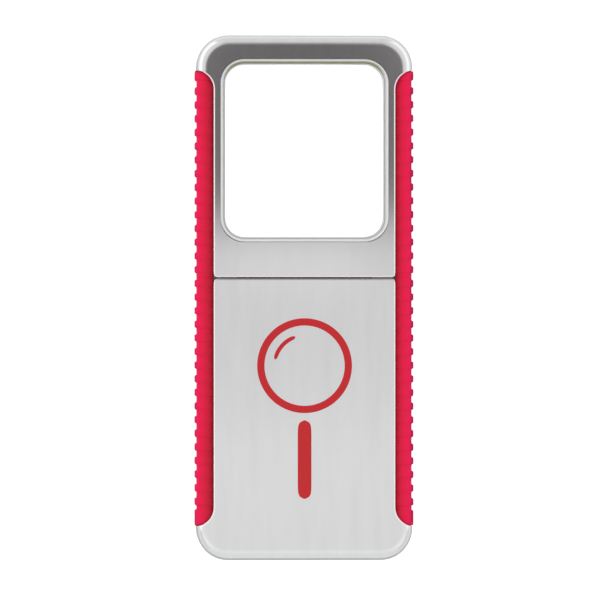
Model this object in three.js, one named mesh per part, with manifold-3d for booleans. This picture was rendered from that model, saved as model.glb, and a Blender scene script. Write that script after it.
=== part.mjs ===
// A pocket magnifying glass that pulls apart to switch its light on.
// The lens head (+Y) carries a rectangular lens, two LEDs and a neck that slides into the handle (-Y).
// The handle holds two coin cells behind a sliding door and a contact board that the neck's fingers wipe.
// Both halves are front and rear shells of silver ABS with ribbed red rubber grips along their sides.
// Units are millimetres. X is the width, Y the length, Z the thickness; the back lies on Z = 0.
import * as THREE from "three";
import { mergeVertices } from "three/addons/utils/BufferGeometryUtils.js";
import Module from "manifold-3d";

const wasm = await Module();
wasm.setup();

// ---- Driving dimensions ----------------------------------------------------------------------
const BODY = { halfWidth: 23.75, halfLength: 57.65, thick: 12, cornerR: 7, edgeR: 2.4, wall: 1.5 };
const SEAM = { y: 4.4, gap: 0.35 }; // where the head and the handle meet
const PART_LINE = { z: 6, gap: 0.2 }; // where the front and rear shells meet
const FIT = 0.1; // gap kept between pieces that rest on each other

const GRIP = {
  innerX: 20, // edge of the rubber on the front and back faces
  halfWidth: 23.6, // side wall between two ribs
  endY: 49.75,
  endR: 4,
  sink: 0.15, // the rubber lies this far below the silver faces
  thick: 1,
  seamGap: 0.1,
  border: 0.1, // gap round the rubber
};
const RIB = { height: 0.4, length: 1.5, headFirst: 6.2, headPitch: 3.02, headCount: 14,
  handleFirst: 3.15, handlePitch: -3, handleCount: 17, endBlock: 47.3 };

const WINDOW = { halfWidth: 18.4, y0: 12.25, y1: 52.35, r: 5, chamfer: 0.25 };
const LENS = { seat: 18.8, flangeZ0: 6.1, flangeZ1: 7.5, halfThick: 3.7, radius: 100,
  zoneHalfWidth: 17, zoneY0: 13.7, zoneY1: 50.9, zoneR: 4 };
const RING = { inner: 17.3, y0: 13.4, y1: 51.2, r: 4.2, step: 10, top: 11.7, low: 10.7 };
const POCKET = { halfWidth: 19, y0: 11.7, y1: 52.9, r: 5.6, ceiling: 10.2 };

const HANDLE_ROOM = { halfWidth: 19, y0: -55.6, y1: -5.7, r: 4.5 };
const MOUTH = { halfWidth: 15.3, z0: 2.6 }; // the opening that the neck slides in
const NECK = { halfWidth: 15, y0: -28.5, z0: 2.9, wallTop: 9.1, lidZ0: 9.2, top: 10.2 };
const NECK_ROOM = { halfWidth: 13, y0: -27.3, y1: 10.2, floor: 4.1 };
const HEAD_TEE = { halfWidth: 18.5, y0: 6.2, y1: 11.2, z0: 1.9 }; // the neck's clamped end
const HOOK = { halfWidth: 16.5, length: 2.5 };

const CELL = { r: 10, thick: 3.2, y: -43.3, rearZ: 1.8 };
const HOLDER = { halfWidth: 14.8, y0: -55.3, y1: -31.3, z0: 1.7, z1: 10.3, bore: 10.3, ceiling: 9 };
const DOOR = {
  halfWidth: 12.3,
  lipHalfWidth: 13.3,
  y1: -30.2,
  thick: 1.4,
  tongueZ: 0.8,
  lipY: -55.8,
  gap: 0.2,
};
const BOARD = { thick: 0.8, ledZ: 5.6, contactZ: 1.7 };
const LED = { x: 3.6, y: 8.7, width: 3.5, length: 2.8, thick: 1.7 };
const SCREW = { headR: 1.4, shankR: 0.7, face: 0.25, rim: 0.35, neck: 1.05, tip: 8.2, hole: 0.85,
  sinkR: 1.6, bossR: 1.75 };
const HEAD_SCREWS = [[-18.7, 52.7], [18.7, 52.7], [-16.9, 8.7], [16.9, 8.7]];
const HANDLE_SCREWS = [[-17.5, -1], [17.5, -1], [-16.9, -51], [16.9, -51]];
const FAR = 80; // beyond every part, for cutters

// ---- Materials -------------------------------------------------------------------------------
const material = (color, roughness, metalness) =>
  new THREE.MeshStandardMaterial({ color, roughness, metalness });
const silver = material(0xc4c5c8, 0.35, 0.7);
const rubber = material(0xe01d46, 0.6, 0);
const black = material(0x1c1d20, 0.5, 0);
const clear = material(0xf4f8f4, 0.05, 0);
const trim = material(0xd6d6c8, 0.3, 0);
const boardGreen = material(0x2c6b3d, 0.5, 0);
const steel = material(0xb9bbbe, 0.3, 1);
const brass = material(0xd0a44c, 0.3, 1);
const ledWhite = material(0xf3e9a8, 0.4, 0);

// ---- Shapes and solids -----------------------------------------------------------------------
// Turns a closed geometry into a solid.
function solid(geometry) {
  const bare = geometry.clone();
  bare.deleteAttribute("normal");
  bare.deleteAttribute("uv");
  const merged = mergeVertices(bare, 1e-4);
  return new wasm.Manifold(
    new wasm.Mesh({
      numProp: 3,
      vertProperties: merged.attributes.position.array,
      triVerts: new Uint32Array(merged.index.array),
    }),
  );
}

const joined = (...solids) => solids.reduce((sum, s) => sum.add(s));
const cut = (body, ...tools) => tools.reduce((rest, t) => rest.subtract(t), body);

// A box from its lowest to its highest corner.
function block(x0, x1, y0, y1, z0, z1) {
  const box = new THREE.BoxGeometry(x1 - x0, y1 - y0, z1 - z0);
  return solid(box.translate((x0 + x1) / 2, (y0 + y1) / 2, (z0 + z1) / 2));
}

// Points along an arc, from angle a0 to a1 in degrees.
function arc(cx, cy, r, a0, a1, steps = 8) {
  const at = (i) => THREE.MathUtils.degToRad(a0 + ((a1 - a0) * i) / steps);
  const point = (i) => new THREE.Vector2(cx + r * Math.cos(at(i)), cy + r * Math.sin(at(i)));
  return Array.from({ length: steps + 1 }, (_, i) => point(i));
}

// The outline of a rectangle with rounded corners, anticlockwise.
function roundedOutline(x0, x1, y0, y1, r, steps = 8) {
  return [
    ...arc(x1 - r, y1 - r, r, 0, 90, steps),
    ...arc(x0 + r, y1 - r, r, 90, 180, steps),
    ...arc(x0 + r, y0 + r, r, 180, 270, steps),
    ...arc(x1 - r, y0 + r, r, 270, 360, steps),
  ];
}

const mirrored = (points, side) => points.map((p) => new THREE.Vector2(side * p.x, p.y));
const points2 = (...pairs) => pairs.map(([x, y]) => new THREE.Vector2(x, y));

// A flat outline extruded from z0 to z1.
function plate(outline, z0, z1) {
  const g = new THREE.ExtrudeGeometry(new THREE.Shape(outline), { depth: z1 - z0, bevelEnabled: false });
  return solid(g.translate(0, 0, z0));
}

// An outline in X and Z extruded along Y.
function prismY(outline, y0, y1) {
  const g = new THREE.ExtrudeGeometry(new THREE.Shape(outline), { depth: y1 - y0, bevelEnabled: false });
  return solid(g.rotateX(Math.PI / 2).translate(0, y1, 0));
}

// An outline in Y and Z extruded along X.
function prismX(outline, x0, x1) {
  const g = new THREE.ExtrudeGeometry(new THREE.Shape(outline), { depth: x1 - x0, bevelEnabled: false });
  const turn = new THREE.Matrix4().makeBasis(
    new THREE.Vector3(0, 1, 0),
    new THREE.Vector3(0, 0, 1),
    new THREE.Vector3(1, 0, 0),
  );
  return solid(g.applyMatrix4(turn).translate(x0, 0, 0));
}

// A closed skin over a stack of outlines with the same number of points, each point a Vector3.
function loft(rings) {
  const count = rings[0].length;
  const positions = rings.flat().flatMap((p) => [p.x, p.y, p.z]);
  const centre = (ring) => ring.reduce((sum, p) => sum.add(p), new THREE.Vector3()).divideScalar(count);
  const low = rings.length * count;
  positions.push(...centre(rings[0]).toArray(), ...centre(rings.at(-1)).toArray());
  const faces = [];
  for (let i = 0; i < count; i++) {
    const j = (i + 1) % count;
    faces.push(low, j, i, low + 1, low - count + i, low - count + j);
    for (let k = 0; k + 1 < rings.length; k++) {
      const a = k * count;
      faces.push(a + i, a + j, a + count + j, a + i, a + count + j, a + count + i);
    }
  }
  const g = new THREE.BufferGeometry();
  g.setAttribute("position", new THREE.Float32BufferAttribute(positions, 3));
  g.setIndex(faces);
  return solid(g);
}

const flatRing = (outline, z) => outline.map((p) => new THREE.Vector3(p.x, p.y, z));

// A turned solid about a vertical axis at (x, y). The profile's pairs are radius and height, upwards.
function turned(profile, x, y, segments = 20) {
  const g = new THREE.LatheGeometry(points2(...profile), segments);
  return solid(g.rotateX(Math.PI / 2).scale(1, 1, -1).rotateX(Math.PI).scale(1, -1, 1).translate(x, y, 0));
}

const cylinder = (x, y, r, z0, z1, segments = 20) =>
  solid(
    new THREE.CylinderGeometry(r, r, z1 - z0, segments)
      .rotateX(Math.PI / 2)
      .translate(x, y, (z0 + z1) / 2),
  );

// The outline of a bent strip of the given thickness along a centre line.
function ribbon(line, thick) {
  const side = (sign) =>
    line.map((p, i) => {
      const before = line[Math.max(i - 1, 0)];
      const after = line[Math.min(i + 1, line.length - 1)];
      const along = after.clone().sub(before).normalize();
      return p.clone().add(new THREE.Vector2(-along.y, along.x).multiplyScalar((sign * thick) / 2));
    });
  return [...side(1), ...side(-1).reverse()];
}

// The whole case as one rounded slab, from which both halves' shells are cut.
function caseSlab() {
  const { halfWidth, halfLength, thick, cornerR, edgeR } = BODY;
  const outline = roundedOutline(-halfWidth, halfWidth, -halfLength, halfLength, cornerR, 8);
  const g = new THREE.ExtrudeGeometry(new THREE.Shape(outline), {
    depth: thick - 2 * edgeR,
    bevelThickness: edgeR,
    bevelSize: edgeR,
    bevelOffset: -edgeR,
    bevelSegments: 4,
  });
  return solid(g.translate(0, 0, edgeR));
}

// ---- Grips -----------------------------------------------------------------------------------
// The C-shaped section of a grip at a distance inwards from its outer skin.
function gripSection(inset, innerX) {
  const { halfWidth, sink } = GRIP;
  const r = BODY.edgeR - inset;
  const cx = halfWidth - BODY.edgeR;
  const low = sink + BODY.edgeR;
  const high = BODY.thick - low;
  return [
    new THREE.Vector2(innerX, high + r),
    ...arc(cx, high, r, 90, 0, 4),
    ...arc(cx, low, r, 0, -90, 4),
    new THREE.Vector2(innerX, low - r),
  ];
}

// The strip of the case's side, seen from the front, that a grip or its recess covers.
function gripStrip(side, border) {
  const x0 = GRIP.innerX - border;
  const x1 = x0 + GRIP.endR + border;
  const y1 = GRIP.endY - GRIP.endR;
  const r = GRIP.endR + border;
  const outline = [
    ...arc(x1, y1, r, 180, 90),
    ...points2([FAR, y1 + r], [FAR, -y1 - r]),
    ...arc(x1, -y1, r, 270, 180),
  ];
  return plate(mirrored(outline, side), -FAR, FAR);
}

// What is cut from the shells so that a grip lies in them.
function gripRecess(side) {
  const x0 = GRIP.innerX - GRIP.border;
  const bed = gripSection(GRIP.thick + 0.15, x0);
  const outline = [...points2([x0, -FAR], [FAR, -FAR], [FAR, FAR], [x0, FAR]), ...bed];
  return prismY(mirrored(outline, side), -FAR, FAR).intersect(gripStrip(side, GRIP.border));
}

// One cross rib: it stands highest on the side wall and runs out to nothing round the edge.
function gripRib(side, y0, y1) {
  const cx = GRIP.halfWidth - BODY.edgeR;
  const low = GRIP.sink + BODY.edgeR;
  const swell = (cy, a0, a1) =>
    arc(0, 0, 1, a0, a1, 3).map((p) => {
      const r = BODY.edgeR + RIB.height * p.x ** 2;
      return new THREE.Vector2(cx + r * p.x, cy + r * p.y);
    });
  const root = GRIP.halfWidth - GRIP.thick / 2;
  const outline = [
    new THREE.Vector2(root, low - 1.6),
    ...swell(low, -60, 0),
    ...swell(BODY.thick - low, 0, 60),
    new THREE.Vector2(root, BODY.thick - low + 1.6),
  ];
  return prismY(mirrored(outline, side), y0, y1);
}

// A grip from y0 to y1 with ribs at the given middles and a solid block at its outer end.
function grip(side, y0, y1, ribs, blockY0, blockY1) {
  const outline = [...gripSection(0, GRIP.innerX), ...gripSection(GRIP.thick, GRIP.innerX).reverse()];
  const strip = gripStrip(side, 0);
  let body = prismY(mirrored(outline, side), y0, y1);
  for (const y of ribs) body = body.add(gripRib(side, y - RIB.length / 2, y + RIB.length / 2));
  return body.add(gripRib(side, blockY0, blockY1)).intersect(strip);
}

const ribRow = (first, pitch, count) => Array.from({ length: count }, (_, i) => first + pitch * i);

// ---- Screws ----------------------------------------------------------------------------------
function screw([x, y]) {
  const { headR, shankR, face, rim, neck, tip } = SCREW;
  const profile = [[0, face], [headR, face], [headR, rim], [shankR, neck], [shankR, tip - 0.6], [0, tip]];
  const slot = 0.22;
  const arm = 0.9;
  return cut(
    turned(profile, x, y, 14),
    block(x - arm, x + arm, y - slot, y + slot, face - 1, face + 0.5),
    block(x - slot, x + slot, y - arm, y + arm, face - 1, face + 0.5),
  );
}

const screwSink = [
  [0, -1],
  [SCREW.sinkR, -1],
  [SCREW.sinkR, SCREW.rim],
  [SCREW.hole, SCREW.neck + 0.1],
  [0, SCREW.neck + 0.1],
];
const screwHoles = (places, z1) =>
  places.map(([x, y]) =>
    joined(
      cylinder(x, y, SCREW.hole, -1, z1, 14),
      turned(screwSink, x, y, 14),
    ),
  );

const bosses = (places, z0, z1) => places.map(([x, y]) => cylinder(x, y, SCREW.bossR, z0, z1, 14));

// ---- Regions of the case ---------------------------------------------------------------------
const slab = caseSlab();
const recesses = [gripRecess(-1), gripRecess(1)];
const headSide = block(-FAR, FAR, SEAM.y + SEAM.gap / 2, FAR, -FAR, FAR);
const handleSide = block(-FAR, FAR, -FAR, SEAM.y - SEAM.gap / 2, -FAR, FAR);
const frontSide = block(-FAR, FAR, -FAR, FAR, PART_LINE.z + PART_LINE.gap / 2, FAR);
const rearSide = block(-FAR, FAR, -FAR, FAR, -FAR, PART_LINE.z - PART_LINE.gap / 2);
const ceiling = BODY.thick - BODY.wall;

const shell = (endSide, faceSide) => cut(slab.intersect(endSide).intersect(faceSide), ...recesses);

// ---- Lens head -------------------------------------------------------------------------------
const outlineOf = ({ halfWidth, y0, y1, r }, grow = 0) =>
  roundedOutline(-halfWidth - grow, halfWidth + grow, y0 - grow, y1 + grow, r + grow);

const neckSlot = block(-MOUTH.halfWidth, MOUTH.halfWidth, 0, 6.5, MOUTH.z0, ceiling);
const teeRoom = (y1) =>
  block(-HEAD_TEE.halfWidth - 0.3, HEAD_TEE.halfWidth + 0.3, 6, y1, BODY.wall, ceiling);
const teeScrews = HEAD_SCREWS.slice(2);
const ledHole = { halfWidth: 6, y0: 7.3, y1: 10.1 };

function lensFrontBezel() {
  const window = joined(
    plate(outlineOf(WINDOW), POCKET.ceiling - 1, BODY.thick + 1),
    loft([
      flatRing(outlineOf(WINDOW), BODY.thick - WINDOW.chamfer),
      flatRing(outlineOf(WINDOW, WINDOW.chamfer * 2), BODY.thick + WINDOW.chamfer),
    ]),
  );
  const hollow = cut(
    shell(headSide, frontSide),
    plate(outlineOf(POCKET), 0, POCKET.ceiling),
    teeRoom(POCKET.y0 + 1),
    neckSlot,
    window,
  );
  const withBosses = joined(hollow, ...bosses(teeScrews, 4.6, ceiling + 0.5));
  return cut(withBosses, ...screwHoles(HEAD_SCREWS, 8.6));
}

function lensRearBezel() {
  const sight = { halfWidth: RING.inner, y0: RING.y0, y1: RING.y1, r: RING.r };
  const window = loft([
    flatRing(outlineOf(sight, 1.4), -0.2),
    flatRing(outlineOf(sight), 1.5),
    flatRing(outlineOf(sight), 7),
  ]);
  const hollow = cut(shell(headSide, rearSide), teeRoom(POCKET.y0 - 0.2), neckSlot, window);
  const { halfWidth, y0, y1 } = ledHole;
  const ledWindowHole = block(-halfWidth, halfWidth, y0, y1, -1, BODY.wall + 1);
  const withBosses = joined(hollow, ...bosses(teeScrews, 1, 4.3));
  return cut(withBosses, ledWindowHole, ...screwHoles(HEAD_SCREWS, 8.6));
}

// The height of the lens's curved face over the middle plane at a distance from its axis.
const lensRise = (distance) => LENS.halfThick - (LENS.radius - Math.sqrt(LENS.radius ** 2 - distance ** 2));

function lens() {
  const { seat, flangeZ0, flangeZ1 } = LENS;
  const middle = (flangeZ0 + flangeZ1) / 2;
  const centreY = (LENS.zoneY0 + LENS.zoneY1) / 2;
  const { zoneHalfWidth, zoneY0, zoneY1, zoneR } = LENS;
  const zone = roundedOutline(-zoneHalfWidth, zoneHalfWidth, zoneY0, zoneY1, zoneR, 6);
  const domeRing = (share, up) =>
    zone.map((p) => {
      const x = p.x * share;
      const y = centreY + (p.y - centreY) * share;
      return new THREE.Vector3(x, y, middle + up * lensRise(Math.hypot(x, y - centreY)));
    });
  const shares = [1, 0.85, 0.68, 0.5, 0.3, 0.1];
  const lowerRings = shares.toReversed().map((s) => domeRing(s, -1));
  const upperRings = shares.map((s) => domeRing(s, 1));
  const optic = loft([...lowerRings, ...upperRings]);
  const flange = roundedOutline(-seat, seat, POCKET.y0 + 0.2, POCKET.y1 - 0.2, POCKET.r - 0.2, 6);
  return joined(optic, plate(flange, flangeZ0, flangeZ1));
}

function lensTrimRing() {
  const opening = { halfWidth: RING.inner, y0: RING.y0, y1: RING.y1, r: RING.r };
  const body = joined(
    plate(outlineOf(WINDOW, -0.2), LENS.flangeZ1 + 0.2, RING.top),
    plate(outlineOf(POCKET, -0.2), LENS.flangeZ1 + 0.2, RING.step),
  );
  const slope = loft([
    flatRing(outlineOf(opening), 0),
    flatRing(outlineOf(opening), RING.low),
    flatRing(outlineOf(opening, 0.9), RING.top + 0.1),
    flatRing(outlineOf(opening, 0.9), RING.top + 1),
  ]);
  return cut(body, slope);
}

function ledWindow() {
  const window = ledHole.halfWidth - 0.15;
  return joined(
    block(-window, window, ledHole.y0 + 0.15, ledHole.y1 - 0.15, 0.15, 1.9),
    block(-6.5, 6.5, 7.05, 10.35, BODY.wall + FIT, 2.3),
  );
}

// The neck's tray: a clamped tee in the head, a long box that slides in the handle, and two end hooks.
function slideCarriage() {
  const { halfWidth, y0, z0, wallTop } = NECK;
  const body = joined(
    block(-halfWidth, halfWidth, y0, HEAD_TEE.y1, z0, wallTop),
    block(-HEAD_TEE.halfWidth, HEAD_TEE.halfWidth, HEAD_TEE.y0, HEAD_TEE.y1, HEAD_TEE.z0, wallTop),
    block(-HOOK.halfWidth, HOOK.halfWidth, y0, y0 + HOOK.length, z0, wallTop),
  );
  const grooves = [-1, 1].map((side) => {
    const x = [14.2 * side, 16 * side].sort((a, b) => a - b);
    return block(x[0], x[1], -23.5, 1.5, 4.4, 8.6);
  });
  const fingerSlots = [-1, 1].map((side) => block(side * 5 - 1.6, side * 5 + 1.6, -27, -20.4, 0, 4.5));
  const { halfWidth: roomHalf, y0: roomY0, y1: roomY1, floor: roomFloor } = NECK_ROOM;
  const room = block(-roomHalf, roomHalf, roomY0, roomY1, roomFloor, 20);
  const hollow = cut(
    body,
    room,
    ...grooves,
    ...fingerSlots,
    block(-6.9, 6.9, 6.9, 10.5, 0, 4.5),
    ...teeScrews.map(([x, y]) => cylinder(x, y, SCREW.bossR + 0.25, 0, 20)),
  );
  const ledges = [-1, 1].map((side) => {
    const x = [11.9 * side, 13.1 * side].sort((a, b) => a - b);
    return block(x[0], x[1], roomY0 - 0.1, roomY1 + 0.1, roomFloor - 0.1, BOARD.ledZ - FIT);
  });
  return joined(hollow, ...ledges);
}

function carriageLid() {
  const neckHalf = NECK.halfWidth - 0.1;
  const teeHalf = HEAD_TEE.halfWidth - 0.1;
  const end = HEAD_TEE.y1 - 0.1;
  const body = joined(
    block(-neckHalf, neckHalf, NECK.y0 + 0.1, end, NECK.lidZ0, NECK.top),
    block(-teeHalf, teeHalf, HEAD_TEE.y0, end, NECK.lidZ0, NECK.top),
  );
  return cut(body, ...teeScrews.map(([x, y]) => cylinder(x, y, SCREW.bossR + 0.25, 0, 20)));
}

const ledBoard = () => block(-12.6, 12.6, -26.9, 10, BOARD.ledZ, BOARD.ledZ + BOARD.thick);

function led(side) {
  const top = BOARD.ledZ - FIT;
  const x = side * LED.x;
  const bottom = top - LED.thick;
  const [halfWidth, halfLength] = [LED.width / 2, LED.length / 2];
  const body = block(x - halfWidth, x + halfWidth, LED.y - halfLength, LED.y + halfLength, bottom, top);
  const cone = [[0, bottom - 0.1], [1.2, bottom - 0.1], [0.9, bottom + 0.5], [0, bottom + 0.5]];
  const cup = turned(cone, x, LED.y, 16);
  return cut(body, cup);
}

function resistor() {
  const z = BOARD.ledZ + BOARD.thick + FIT;
  const cap = (x0) => block(x0, x0 + 0.45, -0.65, 0.65, z - 0.02, z + 0.6);
  return joined(block(-1, 1, -0.6, 0.6, z, z + 0.55), cap(-1.05), cap(0.6));
}

// A sprung finger that reaches from the LED board down to the contact board.
function contactFinger(side) {
  const line = points2([-20.8, 5.35], [-22.4, 5.35], [-24.6, 4.3], [-26.4, 2.78], [-26.75, 3.3]);
  return prismX(ribbon(line, 0.2), side * 5 - 1, side * 5 + 1);
}

// ---- Handle ----------------------------------------------------------------------------------
const mouth = block(-MOUTH.halfWidth, MOUTH.halfWidth, -6, 8, MOUTH.z0, ceiling);
const handleRoom = joined(
  plate(outlineOf(HANDLE_ROOM), BODY.wall, ceiling),
  block(-HANDLE_ROOM.halfWidth, HANDLE_ROOM.halfWidth, -20, HANDLE_ROOM.y1, BODY.wall, ceiling),
);
const detentPockets = [-1, 1].map((side) => {
  const x = [15 * side, 16.3 * side].sort((a, b) => a - b);
  return block(x[0], x[1], -4.9, 2.9, 4.4, 8.6);
});
const cornerScrews = HANDLE_SCREWS.slice(2);
const cornerRibs = (z0, z1) =>
  cornerScrews.map(([x, y]) => {
    const wall = x + 3 * Math.sign(x);
    return block(Math.min(x, wall), Math.max(x, wall), y - 0.6, y + 0.6, z0, z1);
  });

function handleFrontCover() {
  const hollow = cut(shell(handleSide, frontSide), handleRoom, mouth, ...detentPockets);
  const low = PART_LINE.z + PART_LINE.gap / 2;
  const top = ceiling + 0.5;
  const withBosses = joined(hollow, ...bosses(cornerScrews, low, top), ...cornerRibs(low, top));
  return cut(withBosses, ...screwHoles(HANDLE_SCREWS, 8.6));
}

function handleRearCover() {
  const { halfWidth, lipHalfWidth, y1, tongueZ, lipY, gap, thick } = DOOR;
  const doorway = joined(
    block(-halfWidth - gap, halfWidth + gap, -FAR, y1 + gap, -1, thick + gap),
    block(-lipHalfWidth - gap, lipHalfWidth + gap, -FAR, y1 + gap, tongueZ - gap, thick + gap),
    block(-lipHalfWidth - gap, lipHalfWidth + gap, -FAR, lipY + gap + 0.1, tongueZ - gap, PART_LINE.z + 1),
  );
  const hollow = cut(shell(handleSide, rearSide), handleRoom, mouth, ...detentPockets);
  const high = PART_LINE.z - PART_LINE.gap / 2;
  const withBosses = joined(hollow, ...bosses(cornerScrews, 1, high), ...cornerRibs(1, high));
  return cut(withBosses, doorway, ...screwHoles(HANDLE_SCREWS, 8.6));
}

// The door's outside follows the case; its edge tongues run in the rear cover's grooves.
function batteryDoor() {
  const { halfWidth, lipHalfWidth, y1, tongueZ, lipY, thick } = DOOR;
  const blank = joined(
    block(-halfWidth, halfWidth, -FAR, y1, -1, thick),
    block(-lipHalfWidth, lipHalfWidth, -FAR, y1, tongueZ, thick),
    block(-lipHalfWidth, lipHalfWidth, -FAR, lipY, tongueZ, PART_LINE.z - PART_LINE.gap / 2),
  );
  const thumbGrooves = ribRow(-49, 1.6, 5).map((y) => block(-5, 5, y - 0.35, y + 0.35, -1, 0.4));
  const arrow = plate(points2([0, -37.6], [-2.2, -34.4], [2.2, -34.4]), -1, 0.3);
  return cut(blank.intersect(slab), ...thumbGrooves, arrow);
}

function batteryHolder() {
  const { halfWidth, y0, y1, z0, z1, bore } = HOLDER;
  return cut(
    plate(roundedOutline(-halfWidth, halfWidth, y0, y1, 2, 3), z0, z1),
    cylinder(0, CELL.y, bore, -1, HOLDER.ceiling, 48),
    block(2.7, 7.3, -40, FAR, 8.35, FAR),
    block(-7.3, -2.7, -36, FAR, 2.3, 4.9),
  );
}

// A coin cell: the can is the full width and the cap on its front face is a little smaller.
function coinCell(z0) {
  const { r, thick } = CELL;
  const top = z0 + thick;
  const can = [[0, z0], [r - 0.25, z0], [r, z0 + 0.25], [r, top - 0.35], [r - 0.3, top - 0.25]];
  const cap = [[r - 1.6, top - 0.25], [r - 1.7, top], [0, top]];
  return turned([...can, ...cap], 0, CELL.y, 32);
}

const contactBoard = () => block(-10, 10, -31, -5.9, BOARD.contactZ, BOARD.contactZ + BOARD.thick);

function negativeContact() {
  const line = points2([-46.5, 8.8], [-44.5, 8.52], [-42, 8.8], [-30.5, 8.8], [-30.5, 2.72], [-29.2, 2.72]);
  return prismX(ribbon(line, 0.2), 3.2, 6.8);
}

function positiveContact() {
  const line = points2([-33.5, 4.4], [-33.2, 3.4], [-30.5, 3.4], [-30.1, 2.72], [-29.2, 2.72]);
  return prismX(ribbon(line, 0.2), -6.8, -3.2);
}

// A bowed leaf in the handle that rides in the groove along the neck's side and holds the head by its drag.
function detentSpring(side) {
  const bow = [[15.2, -1.8], [14.65, -1], [15.2, -0.2]];
  const line = points2([16.1, -4.6], [16, -2.6], ...bow, [16, 0.6], [16.1, 2.6]);
  return plate(ribbon(mirrored(line, side), 0.22), 4.9, 8.1);
}

// ---- Assembly --------------------------------------------------------------------------------
const group = new THREE.Group();

function place(name, shape, look) {
  const { numProp, vertProperties, triVerts } = shape.getMesh();
  const positions = new Float32Array((vertProperties.length / numProp) * 3);
  for (let i = 0; i < positions.length / 3; i++) {
    positions.set(vertProperties.subarray(i * numProp, i * numProp + 3), i * 3);
  }
  const g = new THREE.BufferGeometry();
  g.setAttribute("position", new THREE.BufferAttribute(positions, 3));
  g.setIndex(new THREE.BufferAttribute(new Uint32Array(triVerts), 1));
  const flat = g.toNonIndexed();
  flat.computeVertexNormals();
  const mesh = new THREE.Mesh(flat, look);
  mesh.name = name;
  group.add(mesh);
}

place("lens_front_bezel", lensFrontBezel(), silver);
place("lens_rear_bezel", lensRearBezel(), silver);
place("lens", lens(), clear);
place("lens_trim_ring", lensTrimRing(), trim);
place("slide_carriage", slideCarriage(), black);
place("carriage_lid", carriageLid(), black);
place("led_board", ledBoard(), boardGreen);
place("resistor", resistor(), black);
place("led_window", ledWindow(), clear);
place("handle_front_cover", handleFrontCover(), silver);
place("handle_rear_cover", handleRearCover(), silver);
place("battery_door", batteryDoor(), silver);
place("battery_holder", batteryHolder(), black);
place("rear_coin_cell", coinCell(CELL.rearZ), steel);
place("front_coin_cell", coinCell(CELL.rearZ + CELL.thick + FIT), steel);
place("contact_board", contactBoard(), boardGreen);
place("negative_contact", negativeContact(), brass);
place("positive_contact", positiveContact(), brass);

const headRibs = ribRow(RIB.headFirst, RIB.headPitch, RIB.headCount);
const handleRibs = ribRow(RIB.handleFirst, RIB.handlePitch, RIB.handleCount);
for (const [side, word] of [[-1, "left"], [1, "right"]]) {
  const halfGap = GRIP.seamGap / 2;
  const headGrip = grip(side, SEAM.y + halfGap, FAR, headRibs, RIB.endBlock + 0.5, FAR);
  const handleGrip = grip(side, -FAR, SEAM.y - halfGap, handleRibs, -FAR, -RIB.endBlock + 0.6);
  place(`head_grip_${word}`, headGrip, rubber);
  place(`handle_grip_${word}`, handleGrip, rubber);
  place(`led_${word}`, led(side), ledWhite);
  place(`contact_finger_${word}`, contactFinger(side), brass);
  place(`detent_spring_${word}`, detentSpring(side), steel);
}
HEAD_SCREWS.forEach((at, i) => place(`head_screw_${i + 1}`, screw(at), steel));
HANDLE_SCREWS.forEach((at, i) => place(`handle_screw_${i + 1}`, screw(at), steel));

export default group;
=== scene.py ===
# %% [markdown]
# # A slide-out pocket magnifier, built surface by surface
#
# The magnifier is two flat halves of silver plastic, each with red rubber along its sides. The upper half holds
# a rectangular lens. It pulls out of the lower half, which holds the batteries. Lengths in this file are in
# millimetres until a mesh is made, because that is how such a part is drawn; Blender itself works in metres.

import math

import bmesh
import bpy
import numpy as np
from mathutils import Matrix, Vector


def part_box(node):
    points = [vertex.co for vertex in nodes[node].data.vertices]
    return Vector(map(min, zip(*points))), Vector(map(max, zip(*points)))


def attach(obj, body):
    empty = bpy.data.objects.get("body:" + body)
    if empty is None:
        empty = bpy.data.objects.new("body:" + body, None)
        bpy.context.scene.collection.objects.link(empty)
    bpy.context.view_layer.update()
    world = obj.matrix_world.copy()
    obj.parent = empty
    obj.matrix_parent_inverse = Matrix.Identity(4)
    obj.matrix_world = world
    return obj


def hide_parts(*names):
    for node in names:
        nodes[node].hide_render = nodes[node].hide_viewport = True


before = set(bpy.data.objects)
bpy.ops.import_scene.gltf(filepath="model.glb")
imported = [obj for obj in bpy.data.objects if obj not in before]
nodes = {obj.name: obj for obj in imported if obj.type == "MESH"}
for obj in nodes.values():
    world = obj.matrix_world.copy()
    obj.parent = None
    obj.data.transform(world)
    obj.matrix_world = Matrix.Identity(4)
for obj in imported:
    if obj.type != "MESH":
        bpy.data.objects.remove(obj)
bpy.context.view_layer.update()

# %% [markdown]
# Every size starts from the frame's own parts, so that the fine surfaces lie exactly where the frame's do. Only
# what a box can't tell is written down here: the radii of corners and edges, and the rhythm of the ribs.


# %% Sizes in millimetres
def box_mm(node):
    """A frame node's lowest and highest corner, in millimetres."""
    low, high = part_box(node)
    return np.array(low) * 1000, np.array(high) * 1000


head_low, head_high = box_mm("lens_front_bezel")
handle_low, handle_high = box_mm("handle_front_cover")
grip_low, grip_high = box_mm("head_grip_right")

HALF_WIDTH, HALF_LENGTH, THICK = head_high
HEAD_SEAM = head_low[1] - 0.08  # the head's skin reaches this far past its solid's edge,
HANDLE_SEAM = handle_high[1] - 0.02  # and the handle's stops this far short, for a seam 0.3 mm wide
PARTING = handle_low[2]  # the front covers' lower edge
CORNER_R, EDGE_R = 7.0, 2.4
GRIP_INNER, GRIP_END = grip_low[0], grip_high[1]
HANDLE_GRIP_END = GRIP_END + 0.25  # the handle's grips reach a little further round its corners
GRIP_END_R, GRIP_BASE, GRIP_SINK = 4.0, 23.6, 0.15
WALL = 1.2  # the front covers' thickness
print(f"case {2 * HALF_WIDTH:.2f} x {2 * HALF_LENGTH:.2f} x {THICK:.2f}")
print(f"seam {HANDLE_SEAM:.2f} to {HEAD_SEAM:.2f}")

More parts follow.
